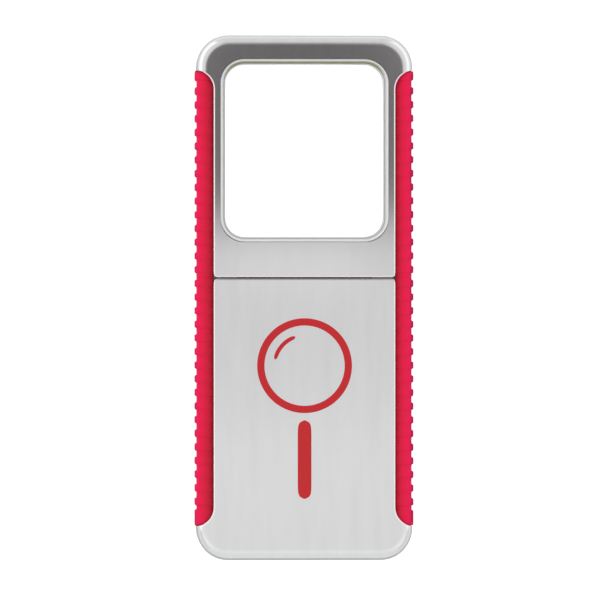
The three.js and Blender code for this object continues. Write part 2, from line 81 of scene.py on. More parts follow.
# %% [markdown]
# ## From arrays of points to meshes
#
# A surface with two parameters is a grid: one row of points for each value of the first, one column for each
# value of the second. Four neighbours make a face. A direction that closes on itself wraps round, and an open end
# is capped with one flat face. The signed volume then tells whether the faces point outwards.


# %% A grid of points becomes a closed mesh
def grid_faces(rows, columns, wrap_rows, wrap_columns):
    """Four corner indices per face: (i, j), (i, j+1), (i+1, j+1), (i+1, j), with wrapping where asked."""
    i = np.arange(rows if wrap_rows else rows - 1)[:, None]
    j = np.arange(columns if wrap_columns else columns - 1)[None, :]
    i2, j2 = (i + 1) % rows, (j + 1) % columns
    return np.stack([i * columns + j, i * columns + j2, i2 * columns + j2, i2 * columns + j], -1).reshape(-1, 4)


def finish_mesh(name, points, faces, sharp=35.0):
    """A new object from points in millimetres. Edges sharper than the angle stay crisp. The faces point outwards:
    the sum over triangles of a . (b x c) / 6 is the volume, and a negative one means that they are inside out."""
    mesh = bpy.data.meshes.new(name)
    mesh.from_pydata((np.asarray(points).reshape(-1, 3) / 1000).tolist(), [], faces)
    mesh.validate()
    mesh.calc_loop_triangles()
    spots = np.empty(3 * len(mesh.vertices), np.float32)
    triangles = np.empty(3 * len(mesh.loop_triangles), np.int32)
    mesh.vertices.foreach_get("co", spots)
    mesh.loop_triangles.foreach_get("vertices", triangles)
    a, b, c = spots.reshape(-1, 3)[triangles.reshape(-1, 3).T]
    volume = (a * np.cross(b, c)).sum() / 6
    if volume < 0:
        mesh.flip_normals()
    mesh.shade_smooth()
    mesh.set_sharp_from_angle(angle=math.radians(sharp))
    piece = bpy.data.objects.new(name, mesh)
    bpy.context.scene.collection.objects.link(piece)
    print(f"{name}: {len(mesh.loop_triangles)} triangles, {abs(volume) * 1e9:.1f} mm3")
    return piece


def grid_piece(name, grid, wrap_rows=False, wrap_columns=True, cap=False, sharp=35.0, painted_light=None):
    """A grid as a closed piece. With cap, the first and the last row are each closed by one flat face.
    painted_light is a number from 0 to 1 for every point, the share of a highlight painted into the colour, kept as
    an attribute for the material."""
    rows, columns = grid.shape[:2]
    faces = grid_faces(rows, columns, wrap_rows, wrap_columns).tolist()
    if cap:
        faces += [list(range(columns))[::-1], list(range((rows - 1) * columns, rows * columns))]
    piece = finish_mesh(name, grid, faces, sharp)
    if painted_light is not None:
        piece.data.attributes.new("painted_light", "FLOAT", "POINT").data.foreach_set("value", painted_light.ravel())
    return piece


# %% [markdown]
# ## Lines to carry a shape along
#
# Outlines are short lists of straight and round stretches. Before use, each stretch gets evenly spaced points, so
# that two outlines with the same counts can be joined point to point.


# %% Arcs and evenly spaced lines
def arc(x, y, r, start, end, count=16):
    """Points on a circle: centre plus radius times (cos, sin) of angles from start to end, in degrees."""
    angle = np.radians(np.linspace(start, end, count))
    return np.stack([x + r * np.cos(angle), y + r * np.sin(angle)], -1)


def even(line, count):
    """count points along a line at equal distances, by interpolating x and y over its running length."""
    line = np.asarray(line, float)
    run = np.r_[0, np.cumsum(np.hypot(*np.diff(line, axis=0).T))]
    at = np.linspace(0, run[-1], count)
    return np.stack([np.interp(at, run, line[:, 0]), np.interp(at, run, line[:, 1])], -1)


def stretches(lines, counts):
    """Several stretches end to end, each with its own number of points; shared ends are kept once."""
    parts = [even(line, n + 1)[:-1] for line, n in zip(lines, counts)]
    return np.concatenate([*parts, np.asarray(lines[-1], float)[-1:]])


def both_sides(right):
    """A closed loop from its right half: the half from bottom to top, then its mirror image back down."""
    left = right[-2:0:-1] * [-1, 1]
    return np.concatenate([right, left])


def along(loop):
    """The unit direction along a closed loop, from the points before and after each point."""
    step = np.roll(loop, -1, 0) - np.roll(loop, 1, 0)
    return step / np.linalg.norm(step, axis=-1, keepdims=True)


def rounded_half(half_width, low, high, r, counts):
    """The right half of a rounded rectangle in five stretches. They meet in the middles of its two corners, and
    3.3 mm below and 1 mm past the upper corner, so that its points match those of a cover's border."""
    x, bottom, top = half_width - r, low + r, high - r
    on_side, on_top = [[half_width, top - 3.3]], [[x - 1, high]]
    return stretches(
        [
            np.concatenate([[[0, low]], arc(x, bottom, r, -90, -45)]),
            np.concatenate([arc(x, bottom, r, -45, 0), on_side]),
            np.concatenate([on_side, arc(x, top, r, 0, 45)]),
            np.concatenate([arc(x, top, r, 45, 90), on_top]),
            np.concatenate([on_top, [[0, high]]]),
        ],
        counts,
    )


# %% [markdown]
# ## The silver front covers
#
# The real covers are injection-moulded ABS, 1.2 mm thick. One large radius runs round the outer edge, and small
# radii run along the seam and round the beds that the rubber lies in. A box with bevels can't carry the quarter
# circles at the ends of the beds where they roll over the edge. So each cover is drawn flat, as if the skin were
# peeled off, and one function lays that drawing over the rounded slab. Rings of points run from the middle of the
# drawing to its border, over the small edge radius, down the wall and back underneath.

# %% Lay a flat drawing over the rounded slab
CORE = np.array([HALF_WIDTH - CORNER_R, HALF_LENGTH - CORNER_R])
FLAT_R = CORNER_R - EDGE_R
QUARTER = EDGE_R * math.pi / 2
WALL_END = FLAT_R + QUARTER + (THICK - EDGE_R - PARTING)  # distance from the core to the parting edge


def lay_on_case(drawing):
    """Points and normals of the slab's skin. Within FLAT_R of the core rectangle the drawing lies flat on the face.
    The next quarter circle's length turns through 90 degrees on EDGE_R. The rest hangs straight down the wall."""
    core = np.clip(drawing, -CORE, CORE)
    away = drawing - core
    distance = np.linalg.norm(away, axis=-1, keepdims=True)
    outward = away / np.maximum(distance, 1e-9)
    turn = np.clip((distance - FLAT_R) / EDGE_R, 0, math.pi / 2)
    reach = np.where(distance < FLAT_R, distance, FLAT_R + EDGE_R * np.sin(turn))
    height = THICK - EDGE_R * (1 - np.cos(turn)) - np.maximum(distance - FLAT_R - QUARTER, 0)
    points = np.concatenate([core + outward * reach, height], -1)
    normals = np.concatenate([outward * np.sin(turn), np.cos(turn)], -1)
    return points, normals


def over_the_side(x):
    """Where a point x from the middle lies in the drawing: past the flat, arc length replaces the distance."""
    flat = HALF_WIDTH - EDGE_R
    return np.where(x <= flat, x, flat + EDGE_R * np.arcsin(np.clip((x - flat) / EDGE_R, 0, 1)))


# %% The covers' border in the flat drawing
BED_GAP = 0.06  # between the rubber and the silver
SEAM_R = 0.3  # where the seam meets the rubber
STEPS = (44, 70, 34, 34, 30)  # points on each of an outline's five stretches


def cover_border(seam, grip_end, edge):
    """The right half of a cover's border, from the seam's middle round to the end's middle, drawn smaller by the
    edge radius that is rolled over it afterwards."""
    x = GRIP_INNER - BED_GAP - edge
    seam_corner = x - SEAM_R, seam + edge + SEAM_R
    end_x, end_y, r = GRIP_INNER + GRIP_END_R, grip_end - GRIP_END_R, GRIP_END_R + BED_GAP + edge
    quarter = arc(end_x, end_y, r, 180, 90, 24)
    quarter[:, 0] = over_the_side(quarter[:, 0])
    side = CORE[0] + WALL_END - edge
    corner = arc(*CORE, WALL_END - edge, 0, 90, 40)
    return stretches(
        [
            np.concatenate([[[0, seam + edge]], arc(*seam_corner, SEAM_R, -90, -45, 6)]),
            np.concatenate([arc(*seam_corner, SEAM_R, -45, 0, 6), [[x, end_y]]]),
            np.concatenate([quarter, [[side, end_y + r]]]),
            np.concatenate([[[side, end_y + r]], corner]),
            np.array([corner[-1], [0, corner[-1, 1]]]),
        ],
        STEPS,
    )


# %% Rings over the cover, round its edge and back underneath
HIGHLIGHT_FROM, HIGHLIGHT_OVER = 8.0, 1.5  # painted highlight on the edge radius: none below the first height, full this much above


def cover_rings(middle, border, edge, wall, middle_wall, rings=44):
    """The closed section of a cover at every point of its outline, as rows: the middle's wall, the outer skin from
    the middle to the border, the edge radius, the wall, and the skin's underside back to the middle. The second
    ring lies close to the first, which keeps the shading of a small rim narrow."""
    share = np.r_[0, 0.008, np.linspace(0, 1, rings)[1:]]
    outer, normals = lay_on_case(middle + (border - middle) * share[:, None, None])
    last, up = outer[-1], normals[-1]
    sideways = np.cross(along(last), up)
    sideways /= np.linalg.norm(sideways, axis=-1, keepdims=True)
    angle = np.linspace(0, math.pi / 2, 6)[1:, None, None]
    rolled = last + edge * (sideways * np.sin(angle) - up * (1 - np.cos(angle)))
    foot = last + edge * sideways - up * wall
    under = outer[::-4] - normals[::-4] * wall
    grid = np.concatenate([middle_wall, outer, rolled, foot[None], under])
    painted_light = np.zeros(grid.shape[:2])
    first = len(middle_wall) + len(share)
    # a highlight painted on the front edge radius, which the material turns pale and less metallic
    painted_light[first : first + len(rolled)] = np.clip((rolled[..., 2] - HIGHLIGHT_FROM) / HIGHLIGHT_OVER, 0, 1)
    return grid, painted_light


def handle_side(grid):
    """The same shape at the handle's end: turned half round in the face's plane."""
    return grid * [-1, -1, 1]


# %% [markdown]
# The head's cover has the window in its middle. Its rim has a small radius too, which catches a bright line, and
# goes straight down to the trim ring's seat. The handle's cover has no window, so its innermost ring is closed by
# one flat face.

# %% The head's front cover
EDGE, RIM = 0.32, 0.02  # the radii along the seam and the rubber, and round the window
WINDOW_HALF, WINDOW_LOW, WINDOW_HIGH, WINDOW_R, WINDOW_DEEP = 18.4, 12.25, 52.35, 5.0, 1.8
window = both_sides(rounded_half(WINDOW_HALF + RIM, WINDOW_LOW - RIM, WINDOW_HIGH + RIM, WINDOW_R + RIM, STEPS))
head_border = both_sides(cover_border(HEAD_SEAM, GRIP_END, EDGE))
flat_window = np.pad(window, ((0, 0), (0, 1)), constant_values=THICK)
inward = np.pad(np.stack([-along(window)[:, 1], along(window)[:, 0]], -1), ((0, 0), (0, 1)))
roll = np.linspace(math.pi / 2, 0, 6)[:-1, None, None]
rim = flat_window + RIM * (inward * np.sin(roll) - [0, 0, 1] * (1 - np.cos(roll)))
deep = (flat_window + RIM * inward - [0, 0, WINDOW_DEEP])[None]
rows, painted_light = cover_rings(window, head_border, EDGE, WALL, np.concatenate([deep, rim]))
head_cover = grid_piece("head_front_cover", rows, wrap_rows=True, painted_light=painted_light)

# %% The handle's front cover
PLATE_HALF, PLATE_INSET, PLATE_END, PLATE_R = 17.2, 2.2, 54.0, 3.0  # the innermost ring
plate_middle = both_sides(rounded_half(PLATE_HALF, PLATE_INSET - HANDLE_SEAM, PLATE_END, PLATE_R, STEPS))
handle_border = both_sides(cover_border(-HANDLE_SEAM, HANDLE_GRIP_END, EDGE))
no_wall = np.empty((0, len(plate_middle), 3))
rows, painted_light = cover_rings(plate_middle, handle_border, EDGE, WALL, no_wall)
painted_light *= rows[..., 1] > 1 - HANDLE_SEAM  # its edge at the seam lies behind the head's and gets no painted highlight
handle_cover = grid_piece("handle_front_cover_skin", handle_side(rows), cap=True, painted_light=painted_light)

# %% [markdown]
# ## The silver back
#
# The rear covers and the battery door are the frame's own solids: their holes, bosses and grooves are already
# right. They come as loose triangles, so a copy is welded, its flat faces are joined into whole polygons, and the
# normals are weighted by face area. That keeps flat faces flat and lets the narrow strips of the edge radius shade
# as one curve.


# %% Weld a frame solid and smooth its curves
SAME_POINT, SAME_PLANE = 2e-6, 0.4  # in metres and degrees


def welded_copy(name, node, sharp=30.0):
    """A frame solid's copy with its doubled points merged and its flat faces joined. Edges sharper than the angle
    stay crisp, and every other normal is the mean of its faces', weighted by their areas."""
    mesh = nodes[node].data.copy()
    work = bmesh.new()
    work.from_mesh(mesh)
    bmesh.ops.remove_doubles(work, verts=work.verts, dist=SAME_POINT)
    bmesh.ops.dissolve_limit(work, angle_limit=math.radians(SAME_PLANE), verts=work.verts, edges=work.edges)
    work.to_mesh(mesh)
    work.free()
    mesh.name = name
    mesh.materials.clear()
    mesh.shade_smooth()
    mesh.set_sharp_from_angle(angle=math.radians(sharp))
    piece = bpy.data.objects.new(name, mesh)
    bpy.context.scene.collection.objects.link(piece)
    weighted = piece.modifiers.new("weighted", "WEIGHTED_NORMAL")
    weighted.keep_sharp = True
    weighted.weight = 100
    print(f"{name}: {len(mesh.polygons)} faces")
    return piece


head_back = welded_copy("head_rear_cover", "lens_rear_bezel")
handle_back = welded_copy("handle_rear_cover_skin", "handle_rear_cover")
door = welded_copy("battery_door_skin", "battery_door")

# %% [markdown]
# The front covers above are skins, so the thick ends where the two halves meet are pieces of their own: two cheeks
# in the handle's mouth that guide the neck, and two in the head that hold the neck's flange. Each is an outline
# seen along the length, carried along the length, with its edges broken by a small radius.


# %% Cheeks beside the neck
CHEEK_OUTER, CHEEK_LOW, CHEEK_HIGH, CHEEK_R = 22.3, 6.1, 10.7, 1.2
CHEEKS = (
    # name, body, inner side, from and to along the length
    ("handle_cheek", "handle", 15.06, -5.7, 4.36),
    ("head_cheek", "lens_head", 15.03, 4.40, 6.0),
)


def cheek(name, side, x0, y0, y1, edge=0.2):
    """A block from y0 to y1, with its outer upper corner rounded to fit under the rubber. The rows near both ends
    are drawn smaller by edge * (1 - sin), which gives the ends a small radius."""
    x1, z0, z1, r = CHEEK_OUTER, CHEEK_LOW, CHEEK_HIGH, CHEEK_R
    outline = np.concatenate([[[x0, z0], [x1, z0]], arc(x1 - r, z1 - r, r, 0, 90, 8), [[x0, z1]]])
    centre = outline.mean(0)
    roll = np.radians([0, 30, 60, 90])
    inset = np.r_[edge * (1 - np.sin(roll)), edge * (1 - np.sin(roll[::-1]))]
    y = np.r_[y0 + edge * (1 - np.cos(roll)), y1 - edge * (1 - np.cos(roll[::-1]))]
    span = np.abs(outline - centre).max(0)
    shrunk = centre + (outline - centre) * (1 - inset[:, None, None] / span)
    grid = np.stack([side * shrunk[..., 0], np.broadcast_to(y[:, None], shrunk.shape[:2]), shrunk[..., 1]], -1)
    return grid_piece(name, grid, cap=True)


cheeks = []
for side, word in ((-1, "left"), (1, "right")):
    for name, body, inner_side, start, end in CHEEKS:
        cheeks.append((cheek(f"{name}_{word}", side, inner_side, start, end), body))

# %% [markdown]
# ## The rubber grips
#
# Each grip is a soft elastomer moulded round the side. Its section is a C: flat on the front, round the edge, down
# the side and flat again on the back. The section is carried along the length, and the ribs are a height added
# along the normal, which fades round the edge so that the front stays smooth. At the far end the strip's width
# follows a quarter circle until only the side wall is left. The face is crowned: it falls towards the silver, where
# it lies 0.95 mm deep and a little deeper between the ribs, so that a shaded groove shows between the two.

# %% Ribs as a height along the length
RIB_HEIGHT, RIB_LENGTH, RIB_FLANK = 0.42, 1.5, 0.32
FACE_RIB = 0.07  # what is left of a rib on the front and the back
SINK, SINK_REACH = 0.8, 3.5  # the rubber's fall towards the silver, and the width it falls over
DEEPER = 0.3  # how much deeper it falls between two ribs
DEEPER_FROM, DEEPER_OVER = 0.25, 1.0  # the distances from a rib's middle over which it becomes deeper
END_SHADE = 7.0  # how much narrower the painted shade along the silver is round the ends
HEAD_RIBS = 6.2 + 3.02 * np.arange(14)  # the first rib's place, the ribs' spacing and their number
HANDLE_RIBS = 3.15 - 3.0 * np.arange(17)
HEAD_BLOCK, HANDLE_BLOCK = 47.8, 46.7  # where the plain blocks at the far ends start
HEAD_MEET, HANDLE_MEET = 4.41, 4.39  # the two halves' grips all but touch
GRIP_EDGE, GRIP_WALL = 0.14, 1.0


def rib_height(y, ribs, block):
    """RIB_HEIGHT on a rib's top and on the end block, 0 between ribs. On a flank it is RIB_HEIGHT times
    3t^2 - 2t^3, where t goes from 0 at the flank's foot to 1 at its top."""
    from_rib = np.abs(y[:, None] - ribs).min(1)
    on_rib = np.clip((RIB_LENGTH / 2 + RIB_FLANK / 2 - from_rib) / RIB_FLANK, 0, 1)
    on_block = np.clip((np.abs(y) - block) / RIB_FLANK + 0.5, 0, 1)
    t = np.maximum(on_rib, on_block)
    return RIB_HEIGHT * t * t * (3 - 2 * t)


# %% The C-shaped section
SIDE_HALF = THICK / 2 - GRIP_SINK - EDGE_R  # half the height of the straight side
GRIP_CENTRE = GRIP_BASE - EDGE_R


def grip_skin(q):
    """A point and normal of the grip's section at distance q from the middle of the side: straight for SIDE_HALF,
    a quarter circle of EDGE_R, then straight across the face."""
    turn = np.clip((np.abs(q) - SIDE_HALF) / EDGE_R, 0, math.pi / 2)
    flat = np.maximum(np.abs(q) - SIDE_HALF - QUARTER, 0)
    x = GRIP_CENTRE + EDGE_R * np.cos(turn) - flat
    z = THICK / 2 + np.sign(q) * (np.minimum(np.abs(q), SIDE_HALF) + EDGE_R * np.sin(turn))
    return np.stack([x, z], -1), np.stack([np.cos(turn), np.sign(q) * np.sin(turn)], -1)


# %% Where the rows of points lie along a grip
def grip_rows(near, far, ribs, block):
    """Five rows on each flank of a rib, five on the end block's flank, and 14 round the quarter circle at the end,
    at far less r * (1 - sin)."""
    flank = np.linspace(-0.5, 0.5, 5)
    flanks = RIB_LENGTH / 2 + RIB_FLANK * flank
    curve = far - np.sign(far) * GRIP_END_R * (1 - np.sin(np.radians(np.linspace(0, 90, 14))))
    end = np.sign(far) * (block + RIB_FLANK * flank)
    rows = np.unique(np.round(np.r_[np.add.outer(ribs, np.r_[-flanks, flanks]).ravel(), curve, end, near, far], 3))
    return rows[(rows >= min(near, far)) & (rows <= max(near, far))]


# %% Carry the section along the side
def grip(name, side, near, far, ribs, block):
    """Rows run along the length and columns round the closed section: outer skin, edge radius, inner skin. From the
    section each point moves along the normal: out by the rib's height, in by the edge radius's share, and in by the
    fall SINK * (1 - d / SINK_REACH)^2, where d is the distance from the silver. The attribute from_middle is x in
    metres, made smaller where the silver is near round the end. It places the shade painted into the rubber's
    colour."""
    rows = grip_rows(near, far, ribs, block)
    past = np.clip(np.abs(rows) - (abs(far) - GRIP_END_R), 0, GRIP_END_R)
    inner_x = GRIP_INNER + GRIP_END_R - np.sqrt(GRIP_END_R**2 - past**2)
    past_edge = EDGE_R * np.arccos(np.clip((inner_x - GRIP_CENTRE) / EDGE_R, 0, 1))
    reach = SIDE_HALF + np.where(inner_x < GRIP_CENTRE, QUARTER + GRIP_CENTRE - inner_x, past_edge)
    reach = reach[:, None]
    half = np.r_[np.linspace(0, 0.33, 7)[:-1], np.linspace(0.33, 0.7, 14)[:-1], np.linspace(0.7, 1, 5)]
    spread = np.r_[-half[:0:-1], half]
    roll = np.radians([30, 60, 90])
    q_roll = reach - GRIP_EDGE + GRIP_EDGE * np.sin(roll)
    q = np.concatenate([spread * (reach - GRIP_EDGE), q_roll, spread[::-1] * reach, -q_roll[:, ::-1]], 1)
    rolled_in = GRIP_EDGE * (1 - np.cos(roll))
    drop = np.broadcast_to(np.r_[0 * spread, rolled_in, 0 * spread + GRIP_WALL, rolled_in[::-1]], q.shape)
    points, normals = grip_skin(q)
    side_share = normals[..., 0] ** 2
    outer = drop < GRIP_WALL / 2
    rib_share = np.where(outer, np.maximum(side_share, FACE_RIB / RIB_HEIGHT), 0)
    height = rib_height(rows, ribs, block)[:, None] * rib_share
    from_edge = GRIP_END_R - np.hypot(np.maximum(GRIP_INNER + GRIP_END_R - points[..., 0], 0), past[:, None])
    fall = SINK * (1 - np.clip(from_edge / SINK_REACH, 0, 1)) ** 2 * np.where(outer, 1 - side_share, 0)
    between = np.clip((np.abs(rows[:, None] - ribs).min(1) - DEEPER_FROM) / DEEPER_OVER, 0, 1)
    fall = fall * (1 + DEEPER * between * between * (3 - 2 * between) * (np.abs(rows) < block))[:, None]
    points = points + normals * (height - drop - fall)[..., None]
    y = np.broadcast_to(rows[:, None], q.shape)
    piece = grid_piece(name, np.stack([side * points[..., 0], y, points[..., 1]], -1), cap=True, sharp=50)
    # where the shade painted along the silver is measured from
    groove = side * np.minimum(points[..., 0], GRIP_INNER + END_SHADE * from_edge) / 1000
    piece.data.attributes.new("from_middle", "FLOAT", "POINT").data.foreach_set("value", groove.ravel())
    return piece


# %% Four grips
HALVES = (
    # name, body, near end, far end, ribs, end block
    ("head_grip", "lens_head", HEAD_MEET, GRIP_END, HEAD_RIBS, HEAD_BLOCK),
    ("handle_grip", "handle", HANDLE_MEET, -HANDLE_GRIP_END, HANDLE_RIBS, HANDLE_BLOCK),
)
grips = []
for side, word in ((-1, "left"), (1, "right")):
    for name, body, near, far, ribs, block in HALVES:
        node_name = f"{name}_{word}"
        grips.append((grip(f"{node_name}_rubber", side, near, far, ribs, block), body, node_name))

# %% [markdown]
# ## The lens and its trim ring
#
# The lens is clear acrylic, domed on both faces, with a rounded rectangular outline. Rings of the same outline,
# shrunk towards the middle, take their height from a sphere. A thin flange round it sits in the head.

# %% The lens
lens_low, lens_high = box_mm("lens")
LENS_Y, LENS_Z = (lens_low[1] + lens_high[1]) / 2, (lens_low[2] + lens_high[2]) / 2
LENS_HALF, SPHERE_R = (lens_high[2] - lens_low[2]) / 2, 100.0


def dome(outline, share):
    """Height above the lens's middle plane: half its thickness less R - sqrt(R^2 - d^2), d from the axis."""
    flat = np.array([0, LENS_Y]) + (outline - [0, LENS_Y]) * share
    d = np.linalg.norm(flat - [0, LENS_Y], axis=-1, keepdims=True)
    return np.concatenate([flat, LENS_HALF - SPHERE_R + np.sqrt(SPHERE_R**2 - d**2)], -1)


LENS_STEPS = (14, 30, 14, 10, 14)
DOME_SIZE = (17.34, 13.36, 51.24, 4.16)  # half width, lowest and highest y, corner radius
FLANGE_SIZE, FLANGE_HALF = (18.8, 11.9, 52.7, 5.4), 0.44  # the second is half the flange's thickness
zone = both_sides(rounded_half(*DOME_SIZE, LENS_STEPS))
flange = both_sides(rounded_half(*FLANGE_SIZE, LENS_STEPS))
share = np.linspace(0.02, 1, 26)[:, None, None]
upper = dome(zone, share)
lower = upper[::-1] * [1, 1, -1]
rim_rows = [
    np.pad(outline, ((0, 0), (0, 1)), constant_values=z)
    for outline, z in ((zone, FLANGE_HALF), (flange, FLANGE_HALF), (flange, -FLANGE_HALF), (zone, -FLANGE_HALF))
]
lens_grid = np.concatenate([upper, rim_rows, lower]) + [0, 0, LENS_Z]
lens = grid_piece("lens_acrylic", lens_grid, cap=True, sharp=30)

# %% [markdown]
# The trim ring is a separate pale moulding that clips over the lens. Its section has a narrow flat lip at the
# top that catches the light, a slope down towards the lens, a fine groove, a narrow step and a straight inner
# wall. The section is carried round a rounded rectangle: each point is moved outwards along the path's normal.

# %% The trim ring
RING_SIZE, RING_STEPS = (17.38, 13.32, 51.28, 4.2), (24, 50, 24, 16, 24)
ring_path = both_sides(rounded_half(*RING_SIZE, RING_STEPS))
outward = np.stack([along(ring_path)[:, 1], -along(ring_path)[:, 0]], -1)
section = np.concatenate([  # distance outwards from the path, and height
    [[0.0, 7.8], [0.0, 10.7]],  # the inner wall
    arc(0.04, 10.7, 0.04, 180, 90, 4),
    [[0.2, 10.74], [0.24, 10.45], [0.3, 10.5], [0.66, 11.75]],  # the step, the groove and the slope
    arc(0.98, 11.95, 0.03, 90, 0, 5),
    [[1.01, 10.0], [1.3, 10.0], [1.3, 7.8]],  # the lip's outer side and the foot
])
away, height = section.T[..., None, None]
heights = np.broadcast_to(height, (len(section), len(ring_path), 1))
ring_grid = np.concatenate([ring_path + outward * away, heights], -1)
ring = grid_piece("lens_trim_ring_moulding", ring_grid, wrap_rows=True)

# %% [markdown]
# ## The print
#
# The handle carries a pad print in one red ink. Here it is a plain drawing of a magnifying glass, with no letters.
# Ink has a thickness of a few hundredths of a millimetre, so each shape is a very thin closed solid on the face.

# %% The printed magnifying glass
INK, ON_FACE = 0.03, 0.002  # the heights of the ink's top and underside above the face
PRINT_AT = np.array([0.0, -24.5])
DRAWN_RING_R, DRAWN_RING_LINE = 9.6, 0.8  # the ring's radius and half its line's width, as for the others
STEM_FROM, STEM_TO, STEM_HALF = -2.4, -19.6, 1.5
GLINT_R, GLINT_LINE = 6.6, 0.45


def ink_ribbon(centre, half_width, closed):
    """A line of ink: the centre line moved both ways along its normal, at the face and at the ink's thickness."""
    way = along(centre) if closed else np.gradient(centre, axis=0)
    way = way / np.linalg.norm(way, axis=-1, keepdims=True)
    normal = np.stack([way[:, 1], -way[:, 0]], -1) * np.asarray(half_width)[..., None]
    left, right = centre + normal, centre - normal
    rows = [
        np.pad(line + PRINT_AT, ((0, 0), (0, 1)), constant_values=THICK + z)
        for line, z in ((left, ON_FACE), (left, INK), (right, INK), (right, ON_FACE))
    ]
    return np.stack(rows, 1)


def round_ended(half_width, count, power, narrowest):
    """A line's half width along its length, which narrows to its ends as sqrt(1 - t^power), t from -1 to 1."""
    return half_width * np.sqrt(np.clip(1 - np.linspace(-1, 1, count) ** power, narrowest, 1))


ring_line = arc(0, DRAWN_RING_R, DRAWN_RING_R, 0, 360, 121)[:-1]
ring_half = np.full(len(ring_line), DRAWN_RING_LINE)
stem = np.stack([np.zeros(40), np.linspace(STEM_FROM, STEM_TO, 40)], -1)
stem_half = round_ended(STEM_HALF, len(stem), 12, 0.02)
glint = arc(0, DRAWN_RING_R, GLINT_R, 108, 168, 30)
glint_half = round_ended(GLINT_LINE, len(glint), 8, 0.03)
prints = [
    grid_piece("print_ring", ink_ribbon(ring_line, ring_half, True), wrap_rows=True, sharp=60),
    grid_piece("print_stem", ink_ribbon(stem, stem_half, False), cap=True, sharp=60),
    grid_piece("print_glint", ink_ribbon(glint, glint_half, False), cap=True, sharp=60),
]

# %% [markdown]
# ## Materials
#
# One function turns a hex colour into Blender's linear values, and one adds a node with its settings and links.


# %% Helpers for materials
def hex_colour(code):
    """sRGB hex to linear: c/12.92 below 0.04045, else ((c + 0.055)/1.055)^2.4."""
    c = np.array([int(code[i : i + 2], 16) for i in (1, 3, 5)]) / 255
    linear = np.where(c <= 0.04045, c / 12.92, ((c + 0.055) / 1.055) ** 2.4)
    return (*linear, 1.0)


def add_node(material, kind, settings=None, **inputs):
    """Adds a node. settings are its own properties. Each input is a value or the output socket that feeds it, and
    is named as in Blender with _ for a space, or by its number, as in i2."""
    made = material.node_tree.nodes.new(kind)
    for key, value in (settings or {}).items():
        setattr(made, key, value)
    for key, value in inputs.items():
        numbered = key[0] == "i" and key[1:].isdigit()
        socket = made.inputs[int(key[1:]) if numbered else key.replace("_", " ")]
        if isinstance(value, bpy.types.NodeSocket):
            material.node_tree.links.new(value, socket)
        else:
            socket.default_value = value
    return made


def new_material(name):
    """An empty node tree. Its patterns read the object's own coordinates, in metres, so they keep their size."""
    material = bpy.data.materials.new(name)
    material.use_nodes = True
    material.node_tree.nodes.clear()
    print("material:", name)
    return material


# %% [markdown]
# The case is ABS sprayed with a metallic lacquer: fine aluminium flakes under a thin clear coat. To the eye it is
# a soft mirror, brighter and darker with what it faces, with a faint grain and fainter streaks where the spray and
# a polishing cloth went lengthwise. Flakes are about 0.03 mm; here the grain is 0.25 mm, so that it shows at all.
# The streaks are about 2 mm wide and 18 mm long. Along the grips and the seam a highlight is painted on the front
# edges: a pale, faintly pink, less metallic line where the edge radius catches the light.

# %% Metallic lacquer on ABS
silver = new_material("metallic_lacquer")
place = add_node(silver, "ShaderNodeTexCoord").outputs["Object"]
flakes = add_node(silver, "ShaderNodeTexNoise", Vector=place, Scale=4000.0, Detail=2.0, Roughness=0.6)
drawn = add_node(silver, "ShaderNodeMapping", Vector=place, Scale=(1.0, 0.12, 1.0))
cloud = add_node(silver, "ShaderNodeTexNoise", Vector=drawn.outputs[0], Scale=450.0, Detail=3.0, Roughness=0.55)
mixed = add_node(silver, "ShaderNodeMath", {"operation": "MULTIPLY_ADD"}, i0=cloud.outputs["Fac"], i1=0.9,
                 i2=flakes.outputs["Fac"])
shade = add_node(silver, "ShaderNodeMapRange", Value=mixed.outputs[0], From_Min=0.6, From_Max=1.3)
tone = add_node(silver, "ShaderNodeMix", {"data_type": "RGBA"}, Factor=shade.outputs[0],
                i6=hex_colour("#d3d3d4"), i7=hex_colour("#dbdbdb"))
rough = add_node(silver, "ShaderNodeMapRange", Value=cloud.outputs["Fac"], To_Min=0.2, To_Max=0.23)
grain = add_node(silver, "ShaderNodeBump", Height=flakes.outputs["Fac"], Strength=0.12, Distance=0.00002)
# painted highlight on the front edges: pale, faintly pink and less metallic
painted_highlight = add_node(silver, "ShaderNodeAttribute", {"attribute_name": "painted_light"}).outputs["Fac"]
tone = add_node(silver, "ShaderNodeMix", {"data_type": "RGBA"}, Factor=painted_highlight, i6=tone.outputs[2],
                i7=hex_colour("#eddfe1"))
metal = add_node(silver, "ShaderNodeMapRange", Value=painted_highlight, To_Min=0.95, To_Max=0.3)
lacquer = add_node(silver, "ShaderNodeBsdfPrincipled", Base_Color=tone.outputs[2], Metallic=metal.outputs[0],
                   Roughness=rough.outputs[0], Normal=grain.outputs[0])
add_node(silver, "ShaderNodeOutputMaterial", Surface=lacquer.outputs[0])

# %% [markdown]
# The grips are a thermoplastic elastomer, moulded against a spark-eroded tool. That gives a matte red with a very
# fine texture and a weak broad highlight. The real pits are under 0.1 mm; here they are 0.2 mm, to show. Shade is
# painted into the colour: darker along the silver, with a noisy edge, more on the left grip than the right as the
# light comes from the left, and darker again on the rib tops, where the side turns away from the light.

# %% Red elastomer
red = new_material("red_elastomer")
place = add_node(red, "ShaderNodeTexCoord").outputs["Object"]
erosion = add_node(red, "ShaderNodeTexNoise", Vector=place, Scale=5000.0, Detail=3.0, Roughness=0.6)
